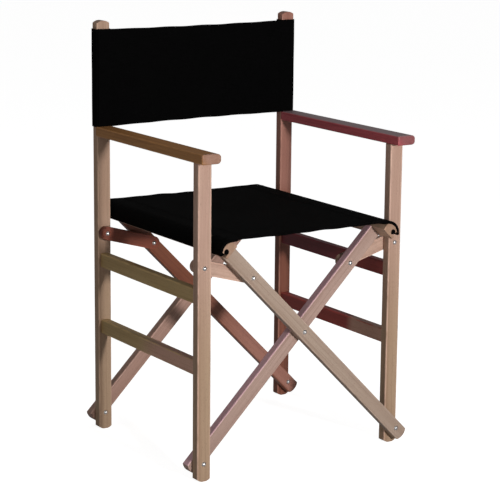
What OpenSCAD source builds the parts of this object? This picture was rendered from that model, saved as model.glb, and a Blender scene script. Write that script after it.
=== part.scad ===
// Folding director's chair: two side frames, two pairs of crossed bars that close like
// scissors, four short links that hold the frames upright, and a sling seat and back.
// +Z is up and the sitter faces -Y. The origin is on the floor under the middle.
// The boards lie in layers along Y, one behind the other, so that they pass as it folds.

/* [Side frames] */
// Distance between the centre lines of the left and right posts
post_spacing = 468; // [462:1:474]
// Distance from the front face of a front post to the front face of its rear post
frame_depth = 408; // [380:2:412]
// Height of the rear posts
rear_post_h = 870; // [860:1:920]
// Height of the top of the armrests
arm_top_h = 652; // [650:1:654]
// Height of the underside of the lower side rails
lower_rail_h = 211; // [120:1:260]
// Height of the underside of the upper side rails
upper_rail_h = 354; // [300:1:370]

/* [Boards] */
// Width of the posts and crossed bars
board_w = 30; // [28:0.5:31]
// Thickness of the posts and crossed bars
board_t = 20; // [18:0.5:21]
// Gap between two layers of boards
layer_gap = 1; // [0.9:0.1:1.5]
// Thickness of the side rails
side_rail_t = 18; // [14:0.5:20]
// Height of the side rails
side_rail_h = 30; // [26:1:34]

/* [Armrests] */
// Width of an armrest
arm_w = 42; // [38:1:43]
// Thickness of an armrest
arm_t = 20; // [18:0.5:22]
// How far the left armrest reaches in front of its own front post
left_arm_reach = 20; // [10:1:28]
// How far the right armrest reaches in front of its own front post
right_arm_reach = 24; // [10:1:28]
// How far the left armrest stands out past the outer face of its posts
left_arm_out = 3.5; // [0:0.5:12]
// How far the right armrest stands out past the outer face of its posts
right_arm_out = 12; // [0:0.5:12]

/* [Folding bars] */
// Height of the foot pivots
foot_pivot_h = 35; // [32:1:38]
// From a foot pivot to the crossing, along a bar
lower_arm = 333; // [330:1:336]
// From the crossing to the link bolt, along a bar
upper_arm = 175; // [172:1:178]
// From the crossing to the seat rail, along a bar
seat_arm = 262; // [258:1:264]
// Height of the link bolts in the posts
post_link_h = 427.69; // [425:0.01:430]
// Width of a link
link_w = 28; // [24:1:30]
// Thickness of a link
link_t = 14; // [11:0.5:15]

/* [Seat and back] */
// Length of the seat rails
seat_rail_l = 500; // [480:2:520]
// How far the seat rails reach in front of the front layer
rail_reach = 21; // [12:1:30]
// Diameter of the rods that hold the seat in its grooves
rod_d = 8; // [6:0.5:8]
// Thickness of the seat's folded edges on the seat rails
seat_t = 5.5; // [3:0.5:6]
// Thickness of the seat between the rails
span_t = 3; // [2:0.5:3]
// Thickness of the cloth of the back
back_t = 2.2; // [1.5:0.1:3]
// Height of the lower edge of the back
back_low_h = 653; // [653:1:690]
// Height of the upper edge of the back
back_top_h = 853; // [800:1:855]

/* [Fixings] */
// Diameter of the pivot bolts
bolt_d = 6; // [5:0.5:6]
// Diameter of the wooden dowels
dowel_d = 8; // [6:1:8]
// Length of the wooden dowels
dowel_l = 36; // [28:2:36]

/* [Hidden] */
$fn = 48;

LEFT = -1;
RIGHT = 1;
beech = "burlywood";
inner_beech = "tan";
black_cloth = "black";
steel = "silver";

slack = 0.02;                                   // holes are this much larger than what they hold
running = 0.05;                                 // radial clearance of a pivot
face_gap = 0.2;                                 // between faces that slide on each other
edge_r = 2.5;                                   // eased long edges of the boards
end_r = 22;                                     // domed ends of the posts
foot_flat = 0.6;                                // the dome of each foot is sanded flat by this much
foot_r = 25;                                    // the foot of a bar is an arc about its pivot
wood_cover = 2;                                 // wood left over the end of a dowel

half = post_spacing / 2;
pitch = board_t + layer_gap;
seat_y = -seat_rail_l / 2;                      // front end of the seat rails
bar_angle = acos(half / lower_arm);
cross_h = foot_pivot_h + lower_arm * sin(bar_angle);
bar_link_x = upper_arm * cos(bar_angle);
bar_link_h = cross_h + upper_arm * sin(bar_angle);
link_l = norm([half - bar_link_x, post_link_h - bar_link_h]);
link_angle = atan2(post_link_h - bar_link_h, half - bar_link_x);
front_post_h = arm_top_h - arm_t;
arm_mid_h = arm_top_h - arm_t / 2;
dowel_in = board_t - wood_cover;                // depth of a dowel in a post

washer_t = layer_gap - face_gap - 0.1;
washer_r = 6.5;
nut_af = 9;
nut_h = 5;
head_r = 4.8;
head_h = 3;
tight_r = bolt_d / 2 + slack;
pivot_r = bolt_d / 2 + running;

dome_r = 20.8;                                  // rounded top of a seat rail
dome_out = 2.4;                                 // centre of that rounding, outwards from the bar
dome_up = 0.7;                                  // and above the end of the bar
rail_in = 14;                                   // inner side of a seat rail, from the bar's middle
rail_out = 17;                                  // outer lip
hook_out = 15;                                  // end of the hook over the groove
groove_r = rod_d / 2 + 1.6;
groove_out = 8.4;
groove_up = 11.3;
mouth_up = 2.9;                                 // the mouth opens this far above the groove's centre
rod_inset = 8;                                  // the rods stop short of the rails' ends
wrap_t = 1.25;                                  // cloth round a rod
wrap_gap = 0.15;
screw_out = -5;                                 // rail screws stand clear of the groove
screw_r = 2;
screw_head_r = 4;
screw_top = 17;
screw_l = 46;

// The left frame and the bars of the left seat rail are in the front layer of each pair,
// the right frame and the bars of the right seat rail in the one behind it.
function layer(side) = side == LEFT ? 0 : 1;
function front_y(side) = seat_y + rail_reach + layer(side) * pitch;
function rear_y(side) = front_y(side) + frame_depth;
function post_y(side, front) = front ? front_y(side) : rear_y(side);
function link_y(side, front) = front ? front_y(side) + pitch : rear_y(side) - layer_gap - link_t;
function dowel_heights() = [for (h = [lower_rail_h, upper_rail_h], k = [0.25, 0.75]) h + k * side_rail_h];

// ---------- shapes that repeat ----------

// Rectangle about the origin with round corners
module round_rect(w, h, r) {
    square([w - 2 * r, h], center = true);
    square([w, h - 2 * r], center = true);
    for (x = [-1, 1], y = [-1, 1])
        translate([x * (w / 2 - r), y * (h / 2 - r)]) circle(r, $fn = 24);
}

// Upright board with eased long edges, centred on X, from y = 0 back
module board(z0, z1) {
    translate([0, board_t / 2, z0]) linear_extrude(z1 - z0) round_rect(board_w, board_t, edge_r);
}

// Carries a drawing in X and Z back along Y, from y = 0 to y = l
module back_along_y(l) {
    translate([0, l, 0]) rotate([90, 0, 0]) linear_extrude(l) children();
}

// Round rod along Y, from y = 0 to y = l
module y_rod(r, l) {
    translate([0, l, 0]) rotate([90, 0, 0]) cylinder(r = r, h = l);
}

// Hole along Y through a whole board
module y_hole(r) {
    translate([0, -board_t, 0]) y_rod(r, 3 * board_t);
}

// Domed bolt head in front of y = 0
module bolt_head() {
    cap_r = (head_r * head_r + head_h * head_h) / (2 * head_h);
    rotate([90, 0, 0]) rotate_extrude() intersection() {
        translate([0, head_h - cap_r]) circle(cap_r, $fn = 96);
        square([head_r, head_h]);
    }
}

// Bolt with its head in front, clear of the boards it holds between y = 0 and y = grip
module bolt(grip) {
    translate([0, -face_gap, 0]) bolt_head();
    translate([0, -face_gap, 0]) y_rod(bolt_d / 2, grip + nut_h);
}

// Hexagon nut with a domed back, in front of which y = 0 is the board
module nut(bore) {
    translate([0, face_gap, 0]) difference() {
        union() {
            translate([0, nut_h, 0]) rotate([90, 0, 0]) cylinder(d = nut_af / cos(30), h = nut_h, $fn = 6);
            translate([0, nut_h, 0]) rotate([180, 0, 0]) scale(0.85) bolt_head();
        }
        translate([0, -1, 0]) y_rod(bore, nut_h + 1);
    }
}

// Washer in the gap behind y = 0
module washer(bore) {
    translate([0, 0.05, 0]) difference() {
        y_rod(washer_r, washer_t);
        translate([0, -1, 0]) y_rod(bore, washer_t + 2);
    }
}

// ---------- side frames ----------

// Outline of a post seen from the front: domed foot, and a domed or a square top
module post_outline(h, domed) {
    intersection() {
        translate([0, end_r - foot_flat]) circle(end_r, $fn = 96);
        translate([-board_w, 0]) square([2 * board_w, end_r]);
    }
    translate([-board_w, end_r - 0.01]) square([2 * board_w, h - (domed ? 2 : 1) * end_r + 0.02]);
    if (domed) translate([0, h - end_r]) circle(end_r, $fn = 96);
}

// Pairs of dowels at both ends of the side rails
module rail_dowels(r, l) {
    for (h = dowel_heights()) translate([0, -l / 2, h]) y_rod(r, l);
}

module post(side, front) {
    h = front ? front_post_h : rear_post_h;
    color(beech) translate([side * half, post_y(side, front), 0]) difference() {
        intersection() {
            board(0, h);
            back_along_y(board_t) post_outline(front ? h + end_r : h, !front);
        }
        for (z = [foot_pivot_h, post_link_h]) translate([0, 0, z]) y_hole(tight_r);
        translate([0, front ? board_t : 0, 0]) rail_dowels(dowel_d / 2 + slack, 2 * dowel_in);
        if (front) translate([0, board_t / 2, h - dowel_in]) cylinder(d = dowel_d + 2 * slack, h = board_t);
        if (!front) translate([0, -1, arm_mid_h]) y_rod(dowel_d / 2 + slack, dowel_in + 1);
    }
}

module side_rail(side, h) {
    l = frame_depth - board_t;
    color(beech) translate([side * half, front_y(side) + board_t, 0]) difference() {
        translate([0, 0, h + side_rail_h / 2]) back_along_y(l) round_rect(side_rail_t, side_rail_h, 2.5);
        rail_dowels(dowel_d / 2 + slack, dowel_l);
        translate([0, l, 0]) rail_dowels(dowel_d / 2 + slack, dowel_l);
    }
}

// Section of an armrest about its middle: lightly eased on the left, a full nosing on the right
module arm_section() {
    light = 3.5;
    full = 9.3;
    translate([light - arm_w / 2, -arm_t / 2]) square([arm_w - light - full, arm_t]);
    translate([-arm_w / 2, light - arm_t / 2]) square([arm_w / 2, arm_t - 2 * light]);
    translate([0, full - arm_t / 2]) square([arm_w / 2, arm_t - 2 * full]);
    for (y = [-1, 1]) {
        translate([light - arm_w / 2, y * (arm_t / 2 - light)]) circle(light);
        translate([arm_w / 2 - full, y * (arm_t / 2 - full)]) circle(full);
    }
}

// Armrest with an eased front end and a square rear end; both armrests have the nosing on the right
module armrest(side) {
    arm_reach = side == LEFT ? left_arm_reach : right_arm_reach;
    l = frame_depth + arm_reach;
    front_edge = 2.5;
    tight_corner = 3.5;
    full_corner = 1.5;
    x0 = side == LEFT ? -board_w / 2 - left_arm_out : board_w / 2 + right_arm_out - arm_w;
    color(beech) translate([side * half, front_y(side) - arm_reach, arm_top_h - arm_t]) difference() {
        intersection() {
            translate([x0 + arm_w / 2, 0, arm_t / 2]) back_along_y(l) arm_section();
            translate([x0, 0, 0]) linear_extrude(arm_t) {
                translate([tight_corner, tight_corner]) circle(tight_corner);
                translate([arm_w - full_corner, full_corner]) circle(full_corner);
                translate([tight_corner, 0]) square([arm_w - tight_corner - full_corner, full_corner]);
                translate([0, tight_corner]) square([arm_w - full_corner, full_corner]);
                translate([0, full_corner]) square([arm_w, l]);
            }
            translate([x0 - 1, l / 2 + front_edge, arm_t / 2]) rotate([90, 0, 90]) linear_extrude(arm_w + 2)
                round_rect(l + 2 * front_edge, arm_t, front_edge);
        }
        translate([0, arm_reach + board_t / 2, -1]) cylinder(d = dowel_d + 2 * slack, h = arm_t / 2 + 3);
        translate([0, l - dowel_in, arm_t / 2]) y_rod(dowel_d / 2 + slack, board_t);
    }
}

// Wooden dowels hidden in the joints of one side frame
module dowels(side) {
    color(inner_beech) translate([side * half, 0, 0]) {
        for (y = [front_y(side) + board_t, rear_y(side)])
            translate([0, y, 0]) rail_dowels(dowel_d / 2, dowel_l - 1);
        translate([0, rear_y(side) - dowel_in + 0.5, arm_mid_h]) y_rod(dowel_d / 2, dowel_l - 1);
        translate([0, front_y(side) + board_t / 2, front_post_h - dowel_in + 0.5])
            cylinder(d = dowel_d, h = dowel_in + arm_t / 2);
    }
}

// ---------- crossed bars ----------

// Drawings with the bar upright: +Z runs along it from the crossing and +X is the outer side
module on_bar(side) {
    translate([0, 0, cross_h]) rotate([0, side * (90 - bar_angle), 0])
        mirror([side == LEFT ? 1 : 0, 0, 0]) children();
}

// Bar with an arched foot; side is that of the seat rail it carries
module bar(side, front) {
    color(beech) on_bar(side) translate([0, post_y(side, front), 0]) difference() {
        intersection() {
            board(-lower_arm - foot_r, seat_arm);
            back_along_y(board_t) {
                translate([0, -lower_arm]) circle(foot_r, $fn = 96);
                translate([-board_w, -lower_arm]) square([2 * board_w, lower_arm + seat_arm]);
            }
        }
        translate([0, 0, -lower_arm]) y_hole(pivot_r);
        y_hole(side == RIGHT ? tight_r : pivot_r);
        translate([0, 0, upper_arm]) y_hole(tight_r);
        translate([screw_out, board_t / 2, seat_arm + screw_top - screw_l - 1])
            cylinder(r = screw_r + slack, h = screw_l);
    }
}

module seat_rail_outline() {
    difference() {
        intersection() {
            translate([dome_out, dome_up]) circle(dome_r, $fn = 120);
            translate([-rail_in, 0]) square([rail_in + rail_out, 2 * dome_r]);
        }
        translate([groove_out, groove_up]) circle(groove_r);
        translate([groove_out, groove_up - groove_r]) square([dome_r, groove_r + mouth_up]);
        translate([hook_out, groove_up]) square(dome_r);
    }
}

// Middles of the two bars of a side, along Y
function bar_ys(side) = [for (front = [true, false]) post_y(side, front) + board_t / 2];

module seat_rail(side) {
    color(beech) on_bar(side) translate([0, 0, seat_arm]) difference() {
        translate([0, seat_y, 0]) back_along_y(seat_rail_l) seat_rail_outline();
        for (y = bar_ys(side)) translate([screw_out, y, 0]) {
            translate([0, 0, -1]) cylinder(r = screw_r + slack, h = screw_top);
            translate([0, 0, screw_top - 2.5]) cylinder(r = screw_head_r + slack, h = dome_r);
        }
    }
}

// Screws through a seat rail into the ends of its bars
module rail_screws(side) {
    color(steel) on_bar(side) translate([0, 0, seat_arm]) for (y = bar_ys(side)) translate([screw_out, y, 0]) {
        translate([0, 0, screw_top - screw_l]) cylinder(r = screw_r, h = screw_l);
        translate([0, 0, screw_top - 2.4]) cylinder(r = screw_head_r, h = 2.4);
    }
}

// Rod that holds the edge of the seat in the groove
module seat_rod(side) {
    color(inner_beech) on_bar(side) translate([groove_out, seat_y + rod_inset, seat_arm + groove_up])
        y_rod(rod_d / 2, seat_rail_l - 2 * rod_inset);
}

// ---------- links ----------

// Link with full round ends, from its post bolt towards its bar bolt
module link(side, front) {
    ease = 1.5;
    color(beech) translate([side * half, link_y(side, front), post_link_h])
        rotate([0, side == LEFT ? link_angle : 180 - link_angle, 0]) difference() {
            union() {
                for (x = [0, link_l]) translate([x, 0, 0]) {
                    translate([0, ease, 0]) y_rod(link_w / 2, link_t - 2 * ease);
                    y_rod(link_w / 2 - ease, link_t);
                }
                translate([0, ease, -link_w / 2]) cube([link_l, link_t - 2 * ease, link_w]);
                translate([0, 0, ease - link_w / 2]) cube([link_l, link_t, link_w - 2 * ease]);
            }
            y_hole(pivot_r);
            translate([link_l, 0, 0]) y_hole(tight_r);
        }
}

// ---------- bolts, nuts and washers ----------

module foot_bolts(side) {
    y0 = side == LEFT ? 0 : -pitch;
    color(steel) for (front = [true, false])
        translate([side * half, post_y(side, front) + y0, foot_pivot_h]) bolt(pitch + board_t);
}

// Bolts of the links in the posts: the heads face the front on both posts
module link_bolts(side) {
    grip = pitch + link_t;
    color(steel) translate([side * half, 0, post_link_h]) {
        translate([0, post_y(side, true), 0]) bolt(grip);
        translate([0, link_y(side, false), 0]) bolt(grip);
    }
}

module post_nuts(side) {
    back_y = side == LEFT ? pitch + board_t : board_t;
    color(steel) translate([side * half, 0, 0]) {
        for (front = [true, false])
            translate([0, post_y(side, front) + back_y, foot_pivot_h]) nut(tight_r);
        translate([0, link_y(side, true) + link_t, post_link_h]) nut(tight_r);
        translate([0, post_y(side, false) + board_t, post_link_h]) nut(tight_r);
    }
}

module post_washers(side) {
    foot_y = side == LEFT ? board_t : -layer_gap;
    color(steel) translate([side * half, 0, 0]) {
        for (front = [true, false])
            translate([0, post_y(side, front) + foot_y, foot_pivot_h]) washer(tight_r);
        translate([0, post_y(side, true) + board_t, post_link_h]) washer(tight_r);
        translate([0, link_y(side, false) + link_t, post_link_h]) washer(tight_r);
    }
}

module centre_bolts() {
    color(steel) for (front = [true, false])
        translate([0, post_y(LEFT, front), cross_h]) bolt(pitch + board_t);
}

module centre_nuts() {
    color(steel) for (front = [true, false])
        translate([0, post_y(RIGHT, front) + board_t, cross_h]) nut(tight_r);
}

module centre_washers() {
    color(steel) for (front = [true, false])
        translate([0, post_y(LEFT, front) + board_t, cross_h]) washer(tight_r);
}

// The two bolts between a pair of links and its bars are each cut through in the gap:
// this is the half that stays in a front bar (with its head) and in a rear bar (with its nut)
module bar_pins(side) {
    color(steel) on_bar(side) translate([0, 0, upper_arm]) {
        translate([0, post_y(side, true), 0]) {
            translate([0, -face_gap, 0]) bolt_head();
            translate([0, -face_gap, 0]) y_rod(bolt_d / 2, board_t + face_gap + washer_t);
        }
        translate([0, post_y(side, false), 0]) {
            translate([0, -washer_t, 0]) y_rod(bolt_d / 2, washer_t + board_t + face_gap + 1);
            translate([0, board_t, 0]) nut(bolt_d / 4);
        }
    }
}

module bar_washers(side) {
    color(steel) on_bar(side) translate([0, 0, upper_arm]) {
        translate([0, post_y(side, true) + board_t, 0]) washer(tight_r);
        translate([0, post_y(side, false) - washer_t - 0.1, 0]) washer(tight_r);
    }
}

// The other halves: a nut behind a front link, a head on a rear link
module link_pins(side) {
    color(steel) translate([side * bar_link_x, 0, bar_link_h]) {
        translate([0, link_y(side, true), 0]) {
            y_rod(bolt_d / 2, link_t + face_gap + 1);
            translate([0, link_t, 0]) nut(bolt_d / 4);
        }
        translate([0, link_y(side, false), 0]) {
            translate([0, -face_gap, 0]) bolt_head();
            translate([0, -face_gap, 0]) y_rod(bolt_d / 2, link_t + face_gap);
        }
    }
}

// ---------- cloth ----------

dome_x = (seat_arm + dome_up) * cos(bar_angle) + dome_out * sin(bar_angle);
dome_h = cross_h + (seat_arm + dome_up) * sin(bar_angle) - dome_out * cos(bar_angle);
cloth_r = dome_r + 0.3;

// One end of the seat: over the rail, round the hook and round its rod
module seat_end() {
    hook_in = mouth_up + groove_up - 0.2;
    difference() {
        intersection() {
            translate([dome_out, dome_up]) circle(cloth_r + seat_t, $fn = 120);
            translate([dome_out, dome_up]) polygon([[0, 0], [60, 0], [60, 60], [0, 60],
                                                    60 * [-cos(bar_angle - 2), sin(bar_angle - 2)]]);
        }
        translate([dome_out, dome_up]) circle(cloth_r, $fn = 120);
        translate([hook_out + 0.3 + wrap_t, 0]) square(60);
        translate([0, -1]) square([60, hook_in - wrap_t + 1]);
    }
    translate([hook_out + 0.3, hook_in - wrap_t]) square([wrap_t, 6]);
    translate([groove_out + rod_d / 2 - 1, hook_in - wrap_t])
        square([hook_out + 0.3 + wrap_t - groove_out - rod_d / 2 + 1, wrap_t]);
    translate([groove_out, groove_up]) circle(rod_d / 2 + wrap_gap + wrap_t);
}

module seat_canvas() {
    color(black_cloth) difference() {
        union() {
            for (side = [LEFT, RIGHT]) on_bar(side) translate([0, seat_y, seat_arm])
                back_along_y(seat_rail_l) seat_end();
            translate([-dome_x, seat_y, dome_h + cloth_r + seat_t - span_t - 0.1])
                cube([2 * dome_x, seat_rail_l, span_t]);
        }
        for (side = [LEFT, RIGHT]) on_bar(side)
            translate([groove_out, seat_y - 1, seat_arm + groove_up]) y_rod(rod_d / 2 + wrap_gap, seat_rail_l + 2);
    }
}

// Sleeves round both rear posts, and the panel between them
module back_canvas() {
    gap = 0.4;
    out = gap + back_t;
    color(black_cloth) translate([0, 0, back_low_h]) linear_extrude(back_top_h - back_low_h) difference() {
        union() {
            for (side = [LEFT, RIGHT]) translate([side * half - board_w / 2 - out, rear_y(side) - out])
                square([board_w + 2 * out, board_t + 2 * out]);
            polygon([[-half, rear_y(LEFT) - out], [half, rear_y(RIGHT) - out],
                     [half, rear_y(RIGHT) - gap], [-half, rear_y(LEFT) - gap]]);
        }
        for (side = [LEFT, RIGHT]) translate([side * half - board_w / 2 - gap, rear_y(side) - gap])
            square([board_w + 2 * gap, board_t + 2 * gap]);
    }
}

post(LEFT, true);  // left_front_post
post(LEFT, false);  // left_rear_post
side_rail(LEFT, upper_rail_h);  // left_upper_rail
side_rail(LEFT, lower_rail_h);  // left_lower_rail
armrest(LEFT);  // left_armrest
dowels(LEFT);  // left_dowels
foot_bolts(LEFT);  // left_foot_bolts
link_bolts(LEFT);  // left_link_bolts
post_nuts(LEFT);  // left_nuts
post_washers(LEFT);  // left_washers
post(RIGHT, true);  // right_front_post
post(RIGHT, false);  // right_rear_post
side_rail(RIGHT, upper_rail_h);  // right_upper_rail
side_rail(RIGHT, lower_rail_h);  // right_lower_rail
armrest(RIGHT);  // right_armrest
dowels(RIGHT);  // right_dowels
foot_bolts(RIGHT);  // right_foot_bolts
link_bolts(RIGHT);  // right_link_bolts
post_nuts(RIGHT);  // right_nuts
post_washers(RIGHT);  // right_washers
bar(RIGHT, true);  // bar_a_front
bar(RIGHT, false);  // bar_a_rear
seat_rail(RIGHT);  // right_seat_rail
rail_screws(RIGHT);  // right_rail_screws
seat_rod(RIGHT);  // right_seat_rod
centre_bolts();
centre_nuts();
centre_washers();
bar_pins(RIGHT);  // right_bar_pins
bar_washers(RIGHT);  // right_bar_washers
bar(LEFT, true);  // bar_b_front
bar(LEFT, false);  // bar_b_rear
seat_rail(LEFT);  // left_seat_rail
rail_screws(LEFT);  // left_rail_screws
seat_rod(LEFT);  // left_seat_rod
bar_pins(LEFT);  // left_bar_pins
bar_washers(LEFT);  // left_bar_washers
link(LEFT, true);  // left_front_link
link(LEFT, false);  // left_rear_link
link_pins(LEFT);  // left_link_pins
link(RIGHT, true);  // right_front_link
link(RIGHT, false);  // right_rear_link
link_pins(RIGHT);  // right_link_pins
seat_canvas();
back_canvas();
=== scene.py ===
from math import acos, atan2, cos, pi, radians, sin
import bpy
import numpy as np
from mathutils import Matrix, Vector


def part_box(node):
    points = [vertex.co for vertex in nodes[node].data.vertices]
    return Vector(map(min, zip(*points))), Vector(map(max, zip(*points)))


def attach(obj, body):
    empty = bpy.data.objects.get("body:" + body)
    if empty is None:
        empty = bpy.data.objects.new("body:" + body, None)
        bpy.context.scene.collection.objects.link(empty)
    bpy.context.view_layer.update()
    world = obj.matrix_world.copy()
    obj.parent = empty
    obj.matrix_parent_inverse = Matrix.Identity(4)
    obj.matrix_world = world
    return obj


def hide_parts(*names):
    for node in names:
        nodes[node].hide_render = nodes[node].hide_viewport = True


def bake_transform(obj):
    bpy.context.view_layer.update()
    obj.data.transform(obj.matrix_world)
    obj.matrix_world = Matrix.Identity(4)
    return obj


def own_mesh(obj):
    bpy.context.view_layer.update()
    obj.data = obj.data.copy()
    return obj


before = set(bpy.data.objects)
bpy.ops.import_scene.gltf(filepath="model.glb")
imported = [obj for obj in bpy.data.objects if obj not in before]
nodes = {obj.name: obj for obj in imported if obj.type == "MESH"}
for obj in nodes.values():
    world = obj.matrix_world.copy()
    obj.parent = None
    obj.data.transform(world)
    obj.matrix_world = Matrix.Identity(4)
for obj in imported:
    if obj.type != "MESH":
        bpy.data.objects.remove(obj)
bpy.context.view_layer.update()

scene = bpy.context.scene

# ---------- sizes of the chair, in metres ----------

half = 0.234                     # from the middle to the centre line of a post
layers = {"left": 0.0, "right": 0.021}
front_y = -0.229                 # front face of the left front post
rear_y = 0.179                   # front face of the left rear post
board_w, board_t = 0.030, 0.020
bar_angle = acos(0.234 / 0.333)
cross_z = 0.035 + 0.333 * sin(bar_angle)
seat_arm = 0.262                 # from the crossing to the seat rail
post_link_z = 0.42769
link_angle = atan2(post_link_z - (cross_z + 0.175 * sin(bar_angle)), half - 0.175 * cos(bar_angle))
bar_foot = 0.358                 # from the crossing to a bar's foot
seat_y = (-0.250, 0.250)
back_z = (0.651, 0.853)
rail_heights = {"upper": 0.369, "lower": 0.226}
post_tops = {"front": 0.632, "rear": 0.870}
rail_size = (0.018, 0.030)
arm_size = (0.042, 0.020)
seat_rail_size = (0.031, 0.021)
link_size = (0.028, 0.014, -0.014, 0.130)
link_layers = {"front": 0.028, "rear": -0.008}

# ---------- camera and light ----------


def aim(obj, place, target, roll=0.0):
    """Puts obj at place, looking at target, and rolls it about its line of sight."""
    back = (Vector(place) - Vector(target)).normalized()
    right = Vector((0, 0, 1)).cross(back).normalized()
    up = back.cross(right)
    x = right * cos(roll) + up * sin(roll)
    y = back.cross(x)
    obj.matrix_world = Matrix.Translation(place) @ Matrix((x, y, back)).transposed().to_4x4()


def camera():
    """The scene's camera, on a sphere of the given distance round its target."""
    azimuth, elevation, distance = radians(-32.46), radians(11.87), 3.891
    target = Vector((-0.002, -0.025, 0.403))
    back = Vector((sin(azimuth) * cos(elevation), -cos(azimuth) * cos(elevation), sin(elevation)))
    data = bpy.data.cameras.new("camera")
    data.sensor_width = 36.0
    data.lens = 135.1
    data.clip_end = 100
    obj = bpy.data.objects.new("camera", data)
    scene.collection.objects.link(obj)
    aim(obj, target + back * distance, target, radians(0.55))
    scene.camera = obj


def lamp(name, place, target, size, watts, colour=(1, 1, 1)):
    """A round area lamp at place that shines at target."""
    data = bpy.data.lights.new(name, "AREA")
    data.shape = "DISK"
    data.size = size
    data.energy = watts
    data.color = colour
    obj = bpy.data.objects.new(name, data)
    scene.collection.objects.link(obj)
    aim(obj, place, target)


camera()
lamp("key", (0.0, -3.4, 1.04), (0, 0, 0.45), 0.22, 88, (1.0, 0.97, 0.95))
lamp("fill", (-3.2, -1.6, 1.6), (0, 0, 0.4), 2.6, 13, (1.0, 0.96, 0.84))
lamp("top", (0.3, 0.6, 3.2), (0, 0, 0.4), 2.2, 10)
world = bpy.data.worlds.new("studio")
world.use_nodes = True
world.node_tree.nodes["Background"].inputs["Color"].default_value = (1.0, 1.0, 1.0, 1)
world.node_tree.nodes["Background"].inputs["Strength"].default_value = 0.15
scene.world = world
scene.view_settings.view_transform = "Standard"

# ---------- shader building ----------


class Value:
    """A shader socket; arithmetic on it adds Math nodes."""

    def __init__(self, shader, socket):
        self.shader, self.socket = shader, socket

    def op(self, operation, *values):
        return self.shader.node("ShaderNodeMath", {"operation": operation}, dict(enumerate(values)))

    def __add__(self, other):
        return self.op("ADD", self, other)

    def __sub__(self, other):
        return self.op("SUBTRACT", self, other)

    def __rsub__(self, other):
        return self.op("SUBTRACT", other, self)

    def __mul__(self, other):
        return self.op("MULTIPLY", self, other)

    __radd__ = __add__
    __rmul__ = __mul__

    def absolute(self):
        return self.op("ABSOLUTE", self)

    def sine(self):
        return self.op("SINE", self)

    def ramp(self, low, high):
        """0 below low, 1 above high, smooth in between."""
        settings = {"interpolation_type": "SMOOTHSTEP"}
        return self.shader.node("ShaderNodeMapRange", settings, {0: self, 1: low, 2: high})


class Shader:
    """One material with its Principled shader."""

    def __init__(self, name, **constants):
        self.material = bpy.data.materials.new(name)
        self.material.use_nodes = True
        self.tree = self.material.node_tree
        self.principled = self.tree.nodes["Principled BSDF"]
        self.set(**constants)

    def put(self, socket, value):
        if isinstance(value, Value):
            self.tree.links.new(value.socket, socket)
        elif isinstance(value, tuple) and socket.type == "RGBA":
            socket.default_value = (*value, 1)
        else:
            socket.default_value = value

    def set(self, **values):
        for name, value in values.items():
            self.put(self.principled.inputs[name.replace("_", " ")], value)

    def node(self, kind, settings=None, inputs=None, out=0):
        made = self.tree.nodes.new(kind)
        for key, value in (settings or {}).items():
            setattr(made, key, value)
        for key, value in (inputs or {}).items():
            self.put(made.inputs[key], value)
        return Value(self, made.outputs[out])

    def mix(self, factor, a, b):
        return self.node("ShaderNodeMix", {"data_type": "RGBA"}, {0: factor, 6: a, 7: b}, out=2)

    def scaled(self, vector, scale):
        return self.node("ShaderNodeVectorMath", {"operation": "MULTIPLY"}, {0: vector, 1: scale})

    def noise(self, vector, scale, detail=2.0, roughness=0.5):
        """Noise whose waves are 1 / scale metres long along each axis."""
        inputs = {"Vector": self.scaled(vector, scale), "Scale": 1.0,
                  "Detail": detail, "Roughness": roughness}
        return self.node("ShaderNodeTexNoise", None, inputs)

    def bump(self, height, distance, strength=1.0):
        inputs = {"Height": height, "Distance": distance, "Strength": strength}
        self.set(Normal=self.node("ShaderNodeBump", None, inputs))


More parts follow.
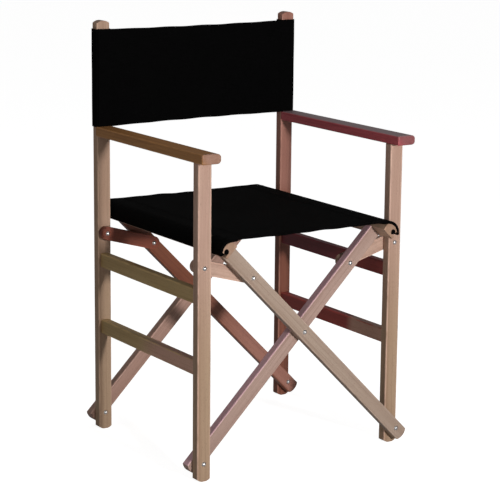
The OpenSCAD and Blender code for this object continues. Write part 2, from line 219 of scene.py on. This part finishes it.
def beech(name, place, turn, tone, size, lower=None, fade=(0, 1), wear_and_painted_light=None, painted_light_on_x=False):
    """Lacquered beech. The grain runs along the board's own Z: wide soft bands, thin growth
    lines and short dark flecks. size is (width, thickness, low end, high end) of the board.
    tone turns into the tone called lower below the heights in fade. The argument after fade is a colour
    painted on one face as painted light, a sheen or a lit side: -Y, or -X where the last argument is true."""
    pale, mid, dark = tone
    s = Shader(name, Roughness=0.42, Coat_Weight=0.10, Coat_Roughness=0.32, Specular_IOR_Level=0.35)
    where = s.node("ShaderNodeTexCoord", None, None, out="Object")
    p = s.node("ShaderNodeMapping", {"vector_type": "TEXTURE"},
               {"Vector": where, "Location": place, "Rotation": turn})
    wander = s.noise(p, (7, 7, 2.2), 2)
    swerve = s.node("ShaderNodeCombineXYZ", None,
                    {0: (wander - 0.5) * 0.012, 1: (wander - 0.5) * 0.006, 2: 0.0})
    q = s.node("ShaderNodeVectorMath", {"operation": "ADD"}, {0: p, 1: swerve})
    bands = s.noise(q, (60, 38, 1.4), 3, 0.55)
    lines = s.noise(q, (420, 260, 5.0), 3, 0.6)
    flecks = s.noise(q, (1500, 900, 190), 1, 0.5).ramp(0.60, 0.74)
    pores = s.noise(q, (2400, 2400, 160), 1, 0.5)
    x, y, z = (s.node("ShaderNodeSeparateXYZ", None, {0: p}, out=k) for k in range(3))
    soft, firm, deep_line = pale, mid, dark
    if lower:
        change = (z + (wander - 0.5) * 0.05).ramp(*fade)
        soft, firm, deep_line = (s.mix(change, b, a) for a, b in zip(tone, lower))
    colour = s.mix(bands.ramp(0.32, 0.68), firm, soft)
    colour = s.mix(lines.ramp(0.50, 0.80) * 0.55, colour, deep_line)
    colour = s.mix(flecks * 0.42, colour, tuple(0.60 * c for c in dark))
    width, thick, low, high = size
    # Painted highlight with wear: the eased long edges are painted paler, as if catching the lamp, broken up
    # by noise.
    corner = (x.absolute().ramp(width / 2 - 0.0034, width / 2 - 0.0014) *
              y.absolute().ramp(thick / 2 - 0.0034, thick / 2 - 0.0014))
    ends = z.ramp(high - 0.004, high + 0.001) + (1 - z.ramp(low - 0.001, low + 0.004))
    edge_wear_and_highlight = s.noise(p, (30, 30, 30), 2)
    colour = s.mix(corner * edge_wear_and_highlight.ramp(0.25, 0.60) * 0.60, colour, tuple(min(1, 1.40 * c) for c in pale))
    # Painted light: one face, -Y or -X, is painted in another colour for a sheen or a lit side, following the
    # grain's bands.
    if wear_and_painted_light:
        depth, reach = (x, width / 2) if painted_light_on_x else (y, thick / 2)
        painted_face_mask = (0 - depth).ramp(reach - 0.0022, reach - 0.0006)
        colour = s.mix(painted_face_mask * (0.55 + bands * 0.6), colour, wear_and_painted_light)
    colour = s.mix(ends * 0.5, colour, dark)
    smudge = s.noise(p, (9, 9, 5), 3).ramp(0.45, 0.75)
    s.set(Base_Color=colour, Roughness=0.36 + lines * 0.12 + smudge * 0.10)
    s.bump(lines * 0.45 + pores * 0.35 - flecks * 0.5, 0.00022, 0.55)
    return s.material


def steel(name, tint, rough, bump):
    """Zinc-plated steel with fine scratches and a little dulling."""
    s = Shader(name, Metallic=1.0, Roughness=rough)
    p = s.node("ShaderNodeTexCoord", None, None, out="Object")
    cloud = s.noise(p, (260, 260, 260), 3)
    scratch = s.noise(p, (2600, 900, 300), 2)
    s.set(Base_Color=s.mix(cloud.ramp(0.4, 0.75), tint, tuple(0.72 * c for c in tint)),
          Roughness=rough + cloud * 0.16 + scratch * 0.08)
    s.bump(scratch + cloud * 0.4, 0.00012, bump)
    return s.material


def canvas(name, tone, thread=0.0011):
    """Plain-woven cotton. Threads follow the piece's UV map, which is in metres."""
    s = Shader(name, Roughness=0.86, Sheen_Weight=0.003, Sheen_Roughness=0.5, Specular_IOR_Level=0.025)
    uv = s.node("ShaderNodeUVMap", {"uv_map": "cloth"})
    soft = s.noise(uv, (240, 240, 1), 2)
    u, v = (s.node("ShaderNodeSeparateXYZ", None, {0: uv}, out=k) for k in range(2))
    across = ((u * (2 * pi / thread)) + soft * 1.5).sine()
    along = ((v * (2 * pi / thread)) + soft * 1.5).sine()
    weave = across * along * 0.5 + 0.5
    slub = s.noise(uv, (900, 40, 1), 2) * 0.5 + s.noise(uv, (40, 900, 1), 2) * 0.5
    wear_and_painted_light = s.noise(uv, (11, 11, 1), 4, 0.6).ramp(0.45, 0.80)
    base = s.mix(slub.ramp(0.38, 0.66), tone, tuple(1.9 * c for c in tone))
    base = s.mix(wear_and_painted_light * 0.30, base, tuple(2.6 * c for c in tone))
    base = s.mix(weave * 0.35, base, tuple(0.45 * c for c in tone))
    s.set(Base_Color=base, Roughness=0.78 + weave * 0.14)
    s.bump(weave + slub * 0.6, 0.0003, 0.7)
    return s.material


def paint(name, material):
    """Gives a CAD node one material."""
    obj = nodes[name]
    obj.data.materials.clear()
    obj.data.materials.append(material)


# ---------- finishes of the CAD nodes ----------

# each tone is the wood's pale bands, its firm bands and its growth lines
pink = ((0.47, 0.315, 0.225), (0.38, 0.24, 0.165), (0.20, 0.105, 0.062))
rose = ((0.52, 0.350, 0.275), (0.42, 0.265, 0.205), (0.22, 0.115, 0.080))
sand = ((0.39, 0.270, 0.180), (0.32, 0.205, 0.132), (0.17, 0.092, 0.050))
mauve = ((0.41, 0.285, 0.240), (0.33, 0.215, 0.178), (0.18, 0.095, 0.070))
ash = ((0.38, 0.290, 0.230), (0.31, 0.222, 0.170), (0.17, 0.098, 0.068))
olive = ((0.46, 0.320, 0.145), (0.37, 0.245, 0.100), (0.20, 0.105, 0.040))
tan = ((0.56, 0.330, 0.250), (0.46, 0.250, 0.185), (0.24, 0.110, 0.070))
gold = ((0.42, 0.200, 0.070), (0.34, 0.150, 0.045), (0.18, 0.068, 0.018))
rosy = ((0.52, 0.100, 0.120), (0.42, 0.072, 0.088), (0.22, 0.028, 0.036))
# Painted shade: the next two dark red tones darken the rear links and the left rear bar, which stand in
# shadow.
shade_dark_red = ((0.20, 0.050, 0.026), (0.155, 0.034, 0.018), (0.07, 0.012, 0.007))
shade_rust_red = ((0.20, 0.062, 0.030), (0.155, 0.044, 0.021), (0.07, 0.015, 0.007))
brown = ((0.40, 0.190, 0.145), (0.32, 0.140, 0.105), (0.15, 0.050, 0.034))
# Painted shade: the next three dark red tones darken the right frame's inner rails and the right rear post
# below the seat.
shade_wine = ((0.22, 0.036, 0.050), (0.17, 0.024, 0.034), (0.07, 0.008, 0.012))
shade_brick = ((0.36, 0.060, 0.050), (0.28, 0.042, 0.034), (0.12, 0.013, 0.010))
shade_ruddy = ((0.24, 0.085, 0.052), (0.185, 0.060, 0.036), (0.085, 0.021, 0.012))
blush = ((0.42, 0.260, 0.210), (0.33, 0.195, 0.150), (0.17, 0.080, 0.055))
plum = ((0.27, 0.130, 0.130), (0.22, 0.100, 0.100), (0.12, 0.045, 0.045))
# Painted light: a greyish painted sheen for the top of the right armrest, and a paler rose painted on the -X
# face of the right front bar for the light on that side.
painted_sheen_top = (0.27, 0.225, 0.235)
painted_lit_side = (0.66, 0.40, 0.46)

# for each board its tone, the tone that it turns into and the heights between which it turns
# Painted light: the front posts turn to a darker tone lower down, for the lamp's light falling off, and the
# right rear post turns darker below the seat, painted shade of the seat.
post_tones = {("left", "front"): (rose, sand, (0.20, 0.52)), ("left", "rear"): (pink, sand, (0.30, 0.45)),
              ("right", "front"): (rose, sand, (0.20, 0.52)), ("right", "rear"): (brown, shade_ruddy, (0.44, 0.50))}
# Painted shade: the right rails get dark red tones for their shaded inner faces, and the lower right rail
# turns paler towards one end, a painted patch of light between the bars' shadows.
rail_tones = {("left", "upper"): (olive,), ("left", "lower"): (olive, tan, (-0.06, 0.03)),
              ("right", "upper"): (shade_wine, shade_brick, (-0.10, 0.02)),
              ("right", "lower"): (shade_brick, tan, (-0.075, -0.045))}
# Painted shade: the left rear bar gets a dark red tone, darkest towards its upper end under the seat. The
# right front bar's -X face gets a painted lit side, given below.
bar_tones = {("left", "front"): (ash,), ("left", "rear"): (shade_rust_red, brown, (-0.22, 0.06)),
             ("right", "front"): (mauve,), ("right", "rear"): (blush,)}
# The right armrest's top gets a painted greyish sheen.
arm_tones = {"left": (gold, blush, None), "right": (rosy, plum, painted_sheen_top)}
# Painted shade: the rear links get a dark red tone, as they stand in shadow.
link_tones = {"front": rose, "rear": shade_dark_red}

upright, back_along = (0, 0, 0), (-pi / 2, 0, 0)
sides = {"left": -1, "right": 1}


def wood(name, place, turn, size, tone, lower=None, fade=(0, 1), wear_and_painted_light=None, painted_light_on_x=False):
    """Gives a CAD node its own beech."""
    paint(name, beech(f"beech_{name}", place, turn, tone, size, lower, fade, wear_and_painted_light, painted_light_on_x))


for side, sign in sides.items():
    lay = layers[side]
    for place, y in (("front", front_y), ("rear", rear_y)):
        wood(f"{side}_{place}_post", (sign * half, y + lay + board_t / 2, 0), upright,
             (board_w, board_t, 0.0, post_tops[place]), *post_tones[side, place])
    for place, z in rail_heights.items():
        wood(f"{side}_{place}_rail", (sign * half, 0, z), back_along,
             (*rail_size, front_y + lay + 0.02, rear_y + lay), *rail_tones[side, place])
    arm_low, arm_high = (np.array(corner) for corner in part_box(f"{side}_armrest"))
    arm_x, _, arm_z = (arm_low + arm_high) / 2
    tone, lower, wear_and_painted_light = arm_tones[side]
    wood(f"{side}_armrest", (arm_x, 0, arm_z), back_along, (*arm_size, arm_low[1], arm_high[1]),
         tone, lower, (arm_low[1] + 0.003, arm_low[1] + 0.012), wear_and_painted_light)
    rail_x = sign * (seat_arm * cos(bar_angle) + 0.01)
    wood(f"{side}_seat_rail", (rail_x, 0, cross_z + seat_arm * sin(bar_angle)), back_along,
         (*seat_rail_size, *seat_y), pink)
    wood(f"{side}_seat_rod", (rail_x, 0.01, 0.46), back_along, (0.03, 0.03, -0.249, 0.249), gold)
    wood(f"{side}_dowels", (0, 0, 0), back_along, (1, 1, -1, 1), gold)
    bar_turn = (0, sign * (pi / 2 - bar_angle), 0)
    link_turn = (0, -sign * (pi / 2 + link_angle), 0)
    letter = "a" if side == "right" else "b"
    for place, y in (("front", front_y), ("rear", rear_y)):
        # The right front bar's -X face gets a painted lit side.
        wood(f"bar_{letter}_{place}", (0, y + lay + board_t / 2, cross_z), bar_turn,
             (board_w, board_t, -bar_foot, seat_arm), *bar_tones[side, place],
             **({"wear_and_painted_light": painted_lit_side, "painted_light_on_x": True} if (side, place) == ("right", "front") else {}))
        wood(f"{side}_{place}_link", (sign * half, y + lay + link_layers[place], post_link_z), link_turn,
             link_size, link_tones[place])

bright = steel("bright_steel", (0.80, 0.80, 0.82), 0.20, 0.25)
dull = steel("dull_steel", (0.62, 0.62, 0.63), 0.34, 0.5)
for name in nodes:
    if name.endswith(("bolts", "pins")):
        paint(name, bright)
    elif name.endswith(("nuts", "washers", "screws")):
        paint(name, dull)

# ---------- cloth ----------

black = canvas("black_canvas", (0.0011, 0.0011, 0.0012))
thread_black = canvas("black_thread", (0.0017, 0.0017, 0.0018), 0.0005)


def mesh_piece(name, vertices, faces, uv, material):
    """A mesh from vertices (n, 3), quads (m, 4) and a UV pair for every vertex."""
    mesh = bpy.data.meshes.new(name)
    mesh.from_pydata(vertices.tolist(), [], faces.tolist())
    layer = mesh.uv_layers.new(name="cloth")
    index = np.empty(len(mesh.loops), int)
    mesh.loops.foreach_get("vertex_index", index)
    layer.data.foreach_set("uv", uv[index].astype(np.float32).ravel())
    mesh.polygons.foreach_set("use_smooth", np.ones(len(mesh.polygons), bool))
    mesh.materials.append(material)
    mesh.update()
    obj = bpy.data.objects.new(name, mesh)
    scene.collection.objects.link(obj)
    return obj


def quads(rows, columns, wrap):
    """Corner numbers of the quads of a grid; wrap joins the last row to the first."""
    i = np.arange(rows if wrap else rows - 1)[:, None]
    j = np.arange(columns - 1)[None, :]
    k = (i + 1) % rows
    here, there = i * columns + j, k * columns + j
    return np.stack([here, there, there + 1, here + 1], -1).reshape(-1, 4)


def shell(name, points, normals, thickness, uv, material, wrap=False):
    """A sheet of cloth with thickness: the grid is its outer face, each point moved in along its
    normal by the thickness gives the inner face, and the two are joined round the grid's edges."""
    rows, columns = points.shape[:2]
    push = normals * thickness[..., None]
    vertices = np.concatenate([points.reshape(-1, 3), (points - push).reshape(-1, 3)])
    skin = quads(rows, columns, wrap)
    n = rows * columns
    faces = [skin, skin[:, ::-1] + n]

    def edge(line, flip):
        a, b = line[:-1], line[1:]
        strip = np.stack([a, b, b + n, a + n], -1)
        return strip[:, ::-1] if flip else strip

    number = np.arange(n).reshape(rows, columns)
    ring = np.append(number[:, 0], number[0, 0]) if wrap else number[:, 0]
    ring_far = np.append(number[:, -1], number[0, -1]) if wrap else number[:, -1]
    faces += [edge(ring, True), edge(ring_far, False)]
    if not wrap:
        faces += [edge(number[0], False), edge(number[-1], True)]
    pair = uv.reshape(-1, 2)
    return mesh_piece(name, vertices, np.concatenate(faces), np.concatenate([pair, pair]), material)


def smooth(value, low, high):
    t = np.clip((value - low) / (high - low), 0, 1)
    return t * t * (3 - 2 * t)


def resample(path, count):
    """count points at even steps along a polyline, and the distance of each from its start."""
    step = np.linalg.norm(np.diff(path, axis=0), axis=1)
    run = np.concatenate([[0], np.cumsum(step)])
    at = np.linspace(0, run[-1], count)
    return np.stack([np.interp(at, run, path[:, k]) for k in range(path.shape[1])], -1), at


def arc(centre, radius, start, stop, count):
    """Points on a circle, angles in degrees."""
    t = np.radians(np.linspace(start, stop, count))
    return np.stack([centre[0] + radius * np.cos(t), centre[1] + radius * np.sin(t)], -1)


# ---------- seat ----------

along_bar = np.array([cos(bar_angle), sin(bar_angle)])
outward = np.array([sin(bar_angle), -cos(bar_angle)])
dome = (0.0024, 0.0007)          # centre of the seat rail's rounding, [outwards, along the bar]
dome_r = 0.0208
groove = (0.0084, 0.0113)
cloth_r = dome_r + 0.0062        # outer face of the cloth on the rail
seat_z = 0.4839                  # top of the cloth between the rails
seat_sag = 0.0016


def seat_half_path():
    """The right-hand half of the seat's outer face in X and Z, from the groove to the middle: a turn
    round the rod, out of the mouth, round the hook and over the rail, then level to the middle."""
    turn = arc(groove, 0.0054, 40, 372, 70)
    lead = np.array([[0.0150, 0.01265], [0.0180, 0.0126]])
    tip = arc((0.0190, 0.0172), 0.0046, -90, 8, 10)
    top = arc(dome, cloth_r, 40, 90 + np.degrees(pi / 2 - bar_angle) - 3, 60)
    local = np.concatenate([turn, lead, tip, top]) + [0, seat_arm]
    world = local[:, :1] * outward + local[:, 1:] * along_bar + [0, cross_z]
    level_x = np.linspace(0.165, 0.0, 30)
    level = np.stack([level_x, np.full(30, seat_z)], -1)
    return np.concatenate([world, level])


right_half = seat_half_path()
left_half = right_half[-2::-1] * [-1, 1]
seat_path, seat_run = resample(np.concatenate([right_half, left_half]), 460)
for _ in range(5):
    seat_path[1:-1] = (seat_path[:-2] + 2 * seat_path[1:-1] + seat_path[2:]) / 4
seat_len = seat_run[-1]
tangent = np.gradient(seat_path, axis=0)
tangent /= np.linalg.norm(tangent, axis=1)[:, None]
seat_normal = np.stack([tangent[:, 1], -tangent[:, 0]], -1)


def seat_surface(path_index, y):
    """Seat grid: the path above carried along Y. Between the rails it sags by a shallow parabola,
    and low waves run across it where the pull is uneven."""
    x, z = (np.interp(path_index, np.arange(len(seat_path)), seat_path[:, k]) for k in range(2))
    nx, nz = (np.interp(path_index, np.arange(len(seat_path)), seat_normal[:, k]) for k in range(2))
    x, y = np.broadcast_arrays(x[:, None], y[None, :])
    z = np.broadcast_to(z[:, None], x.shape).copy()
    span = np.clip(1 - (x / 0.172) ** 2, 0, 1) * (z > 0.480)
    edge = smooth(np.abs(y), 0.20, 0.25)
    z -= seat_sag * span * (1 - 0.3 * edge)
    z += span * 0.0009 * np.sin(x * 31 + 0.8) * np.sin(y * 17 + 0.4)
    z += span * 0.0006 * edge * np.sin(x * 95 + np.sign(y) * 0.9)
    normal = np.stack([np.broadcast_to(nx[:, None], x.shape), 0 * x,
                       np.broadcast_to(nz[:, None], x.shape)], -1)
    return np.stack([x, y, z], -1), normal


hem = 0.020
seat_seam = 0.0172               # from the cloth's edge to the hem's stitches
back_seam = 0.0157
stitch_pitch = 0.0043
edge_steps = np.array([0, 0.0006, 0.0016, 0.004, 0.008, 0.013, 0.0175, 0.0195, 0.0215, 0.024, 0.028])
seat_ys = np.concatenate([seat_y[0] + edge_steps, np.linspace(seat_y[0] + 0.034, seat_y[1] - 0.034, 60),
                          (seat_y[1] - edge_steps)[::-1]])
index = np.arange(len(seat_path), dtype=float)
points, normals = seat_surface(index, seat_ys)
from_edge = seat_y[1] - np.abs(points[..., 1])
folded = 1 - smooth(from_edge, hem - 0.0015, hem + 0.0015)
lip = 0.35 + 0.65 * np.sqrt(np.clip(from_edge / 0.0016, 0, 1))
dip = 1 - 0.55 * np.exp(-((from_edge - seat_seam) / 0.0011) ** 2)
on_rail = smooth(np.abs(points[..., 0]), 0.160, 0.178)
from_end = np.minimum(seat_run, seat_len - seat_run)[:, None]
in_groove = 1 - smooth(from_end, 0.038, 0.047)
thick = (0.0013 + 0.0013 * folded * (1 - on_rail) + 0.0042 * on_rail * (1 - in_groove)
         - 0.0002 * in_groove)                # one cloth, two in the hems, several on the rails
thick = thick * (on_rail + (1 - on_rail) * dip * lip)
plug = (1 - smooth(from_end, 0.029, 0.031)) * (from_edge < 0.0066)
thick = thick + 0.0036 * plug                 # the rolled edge is tucked in before the rod's end
uv = np.stack(np.broadcast_arrays(seat_run[:, None], points[..., 1]), -1)
seat = shell("seat_cloth", points, normals, thick, uv, black)


def stitches(name, centres, along, up, material, length=0.0032, radius=0.00042):
    """Stitches, each a spindle: a ring of six points, wide in the middle and closed at both ends.
    centres, along and up have one row for every stitch."""
    across = np.cross(along, up)
    t = np.linspace(0, 2 * pi, 6, endpoint=False)
    stations = np.array([-0.5, -0.34, 0.0, 0.34, 0.5])
    swell = np.array([0.15, 0.85, 1.0, 0.85, 0.15])
    ring = (swell[:, None, None] * radius *
            (np.cos(t)[None, :, None] * across[:, None, None] + np.sin(t)[None, :, None] * up[:, None, None]))
    spine = centres[:, None, None] + stations[None, :, None, None] * length * along[:, None, None]
    vertices = (spine + ring).reshape(-1, 3)
    count = len(centres)
    k = np.arange(6)
    turn = (k + 1) % 6
    side_faces = np.concatenate([np.stack([s * 6 + k, s * 6 + turn, (s + 1) * 6 + turn, (s + 1) * 6 + k], -1)
                                 for s in range(4)])
    caps = np.array([[0, 3, 2, 1], [0, 5, 4, 3], [24, 25, 26, 27], [24, 27, 28, 29]])
    one = np.concatenate([side_faces, caps])
    faces = (one[None] + (np.arange(count) * 30)[:, None, None]).reshape(-1, 4)
    uv = np.stack([vertices[:, 0] + vertices[:, 1], vertices[:, 2]], -1)
    return mesh_piece(name, vertices, faces, uv, material)


def seat_seams():
    """Rows of stitches on the seat: along the front and rear hems, and beside each rail."""
    place, way, up = [], [], []
    inside = np.abs(seat_path[:, 0]) < 0.205
    first, last = np.flatnonzero(inside & (seat_path[:, 1] > 0.470))[[0, -1]]
    hem_index = np.arange(first, last, stitch_pitch / (seat_len / (len(seat_path) - 1)))
    for y in (seat_y[0] + seat_seam, seat_y[1] - seat_seam):
        p, n = seat_surface(hem_index, np.array([y]))
        t = np.gradient(p[:, 0], axis=0)
        place.append(p[:, 0]), way.append(t), up.append(n[:, 0])
    rail_y = np.arange(seat_y[0] + 0.006, seat_y[1] - 0.004, stitch_pitch)
    for x in (0.1560, 0.1500, -0.1500, -0.1560):
        flat = np.flatnonzero(seat_path[:, 1] > 0.4835)
        at = np.interp(-x, -seat_path[flat, 0], flat)
        p, n = seat_surface(np.array([at]), rail_y)
        place.append(p[0]), way.append(np.tile([0.0, 1.0, 0.0], (len(rail_y), 1))), up.append(n[0])
    place, way, up = (np.concatenate(k) for k in (place, way, up))
    way /= np.linalg.norm(way, axis=1)[:, None]
    return place + up * 0.0001, way, up


seat_thread = stitches("seat_stitches", *seat_seams(), thread_black)
for piece in (seat, seat_thread):
    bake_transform(piece)
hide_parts("seat_canvas")

# ---------- back ----------

sleeve_gap = 0.0022
post_corner = 0.004


def sleeve_ring(count=96):
    """Closed path round a post, seen from above: a rectangle with round corners, a little
    slack on its wide faces. It starts in the middle of the front face."""
    w, d, r = board_w / 2 + sleeve_gap, board_t / 2 + sleeve_gap, post_corner
    corners = [arc((w - r, -d + r), r, -90, 0, 8), arc((w - r, d - r), r, 0, 90, 8),
               arc((-w + r, d - r), r, 90, 180, 8), arc((-w + r, -d + r), r, 180, 270, 8)]
    path = np.concatenate([[[0.0, -d]], *corners, [[0.0, -d]]])
    path, run = resample(path, count + 1)
    return path[:-1], run[:-1], run[-1]


def back_levels(count=70):
    """Heights of the back's grid, close together at the hems."""
    low, high = back_z
    steps = np.array([0, 0.0006, 0.0016, 0.004, 0.008, 0.013, 0.0165, 0.0185, 0.0215, 0.025])
    middle = np.linspace(low + 0.031, high - 0.031, count)
    return np.concatenate([low + steps, middle, (high - steps)[::-1]])


def hem_thickness(z, base, extra):
    """Twice the cloth within a hem at the top and bottom, a dip at the seam and a rounded lip."""
    gap = np.minimum(z - back_z[0], back_z[1] - z)
    folded = 1 - smooth(gap, 0.0175, 0.0200)
    lip = 0.35 + 0.65 * np.sqrt(np.clip(gap / 0.0016, 0, 1))
    dip = 1 - 0.5 * np.exp(-((gap - back_seam) / 0.0011) ** 2)
    return (base + extra * folded) * lip * dip


def sleeve(side):
    """Cloth tube round a rear post: the ring above carried up along Z. It hangs in low ripples."""
    sign, lay = sides[side], layers[side]
    ring, run, whole = sleeve_ring()
    z = back_levels()
    out = ring / np.linalg.norm(ring, axis=1)[:, None]
    flat = np.stack([np.where(np.abs(ring[:, 0]) > 0.0152, np.sign(ring[:, 0]), 0),
                     np.where(np.abs(ring[:, 1]) > 0.0102, np.sign(ring[:, 1]), 0)], -1)
    out = flat / np.maximum(np.linalg.norm(flat, axis=1), 1)[:, None] * 0.8 + out * 0.2
    out /= np.linalg.norm(out, axis=1)[:, None]
    ripple = (0.0005 * np.sin(z[None, :] * 61 + run[:, None] * 95 + sign)
              * np.sin(run[:, None] * 2 * pi * 3 / whole))
    x = sign * half + ring[:, :1] + out[:, :1] * ripple
    y = rear_y + lay + board_t / 2 + ring[:, 1:] + out[:, 1:] * ripple
    points = np.stack([x, y, np.broadcast_to(z[None, :], x.shape)], -1)
    normals = np.stack([np.broadcast_to(out[:, :1], x.shape),
                        np.broadcast_to(out[:, 1:], x.shape), 0 * x], -1)
    thick = np.broadcast_to(hem_thickness(z, 0.0012, 0.0008)[None, :], x.shape)
    uv = np.stack(np.broadcast_arrays(run[:, None], z[None, :]), -1)
    obj = shell(f"{side}_back_sleeve", points, normals, thick, uv, black, wrap=True)
    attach(obj, f"{side}_frame")
    return obj, whole


def panel_place(x, z):
    """Depth of the back panel: a straight line between the front faces of the two sleeves, bowed
    back a little in the middle, with shallow pull lines that run out from the sleeves."""
    t = (x + half) / (2 * half)
    y = rear_y + layers["right"] * t - 0.0040
    low, high = back_z
    v = (z - low) / (high - low)
    bow = 4 * t * (1 - t)
    y = y + 0.0030 * bow * (0.6 + 0.4 * np.sin(pi * v))
    pull = np.exp(-((t - 0.0) / 0.16) ** 2) + np.exp(-((t - 1.0) / 0.16) ** 2)
    y = y + 0.0007 * bow * pull * 4 * np.sin(v * 34 + 5 * t)
    return y + 0.0008 * bow * np.sin(5.2 * x * 7 + v * 3) * np.sin(2.6 * v + 0.5)


def back_panel():
    """The panel between the sleeves: a grid across X and up Z. Its ends lap over the sleeves'
    fronts, and its top and bottom edges droop towards the middle."""
    lap = 0.0135
    x = np.concatenate([-half - lap + np.array([0, 0.0006, 0.0015, 0.004, 0.007, 0.010, 0.0125]),
                        np.linspace(-half, half, 150),
                        half + lap - np.array([0.0125, 0.010, 0.007, 0.004, 0.0015, 0.0006, 0])])
    z = back_levels()
    gx, gz = np.meshgrid(x, z, indexing="ij")
    low, high = back_z
    middle = np.clip(1 - (gx / half) ** 2, 0, 1)
    droop = 0.0020 * middle
    wave = 0.0005 * np.sin(gx * 70 + 1.0) * middle
    moved = gz - droop * smooth(gz, low, high) + droop * (1 - smooth(gz, low, high)) + wave
    points = np.stack([gx, panel_place(np.clip(gx, -half, half), gz), moved], -1)
    normals = np.zeros_like(points)
    normals[..., 1] = -1
    end = half + lap - np.abs(gx)
    thick = hem_thickness(gz, 0.0012, 0.0010) * (0.35 + 0.65 * np.sqrt(np.clip(end / 0.0015, 0, 1)))
    thick = thick + 0.0004 * smooth(np.abs(gx), half - 0.028, half - 0.022) * (end > 0.0008)
    uv = np.stack([gx, gz], -1)
    return shell("back_panel", points[::-1], normals, thick[::-1], uv[::-1], black)


panel = back_panel()


def back_seams():
    """Rows of stitches on the panel: along both hems, and two rows beside each post."""
    place, way = [], []
    x = np.arange(-half - 0.008, half + 0.008, stitch_pitch)
    for z in (back_z[0] + back_seam, back_z[1] - back_seam):
        droop = 0.0020 * np.clip(1 - (x / half) ** 2, 0, 1) * (1 if z < 0.75 else -1)
        place.append(np.stack([x, panel_place(np.clip(x, -half, half), z), z + droop], -1))
        way.append(np.tile([1.0, 0, 0], (len(x), 1)))
    z = np.arange(back_z[0] + 0.004, back_z[1] - 0.003, stitch_pitch)
    for sign in (-1, 1):
        for off in (0.0200, 0.0255):
            x = np.full(len(z), sign * (half - off))
            place.append(np.stack([x, panel_place(x, z), z], -1))
            way.append(np.tile([0, 0, 1.0], (len(z), 1)))
    place, way = np.concatenate(place), np.concatenate(way)
    up = np.tile([0, -1.0, 0], (len(place), 1))
    return place + up * 0.0001, way, up


panel_thread = stitches("back_stitches", *back_seams(), thread_black)
for piece in (panel, panel_thread):
    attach(piece, "left_frame")
    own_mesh(piece)
left_sleeve, sleeve_round = sleeve("left")
right_sleeve, _ = sleeve("right")
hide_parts("back_canvas")

# ---------- floor ----------


def floor(radius=30, count=96):
    """A wide pale disc: points at even steps on a circle round the origin."""
    t = np.linspace(0, 2 * pi, count, endpoint=False)
    vertices = np.stack([radius * np.cos(t), radius * np.sin(t), 0 * t], -1)
    mesh = bpy.data.meshes.new("floor")
    mesh.from_pydata(vertices.tolist(), [], [list(range(count))])
    s = Shader("floor_paint", Base_Color=(0.55, 0.55, 0.55), Roughness=0.9, Specular_IOR_Level=0.1)
    glow = s.node("ShaderNodeEmission", None, {"Color": (1.0, 1.0, 1.0), "Strength": 0.90})
    plain = Value(s, s.principled.outputs[0])
    lit = s.node("ShaderNodeAddShader", None, {0: glow, 1: plain})
    seen = s.node("ShaderNodeLightPath", None, None, out="Is Camera Ray")
    both = s.node("ShaderNodeMixShader", None, {0: seen, 1: plain, 2: lit})
    s.put(s.tree.nodes["Material Output"].inputs["Surface"], both)
    mesh.materials.append(s.material)
    obj = bpy.data.objects.new("floor", mesh)
    scene.collection.objects.link(obj)


floor()
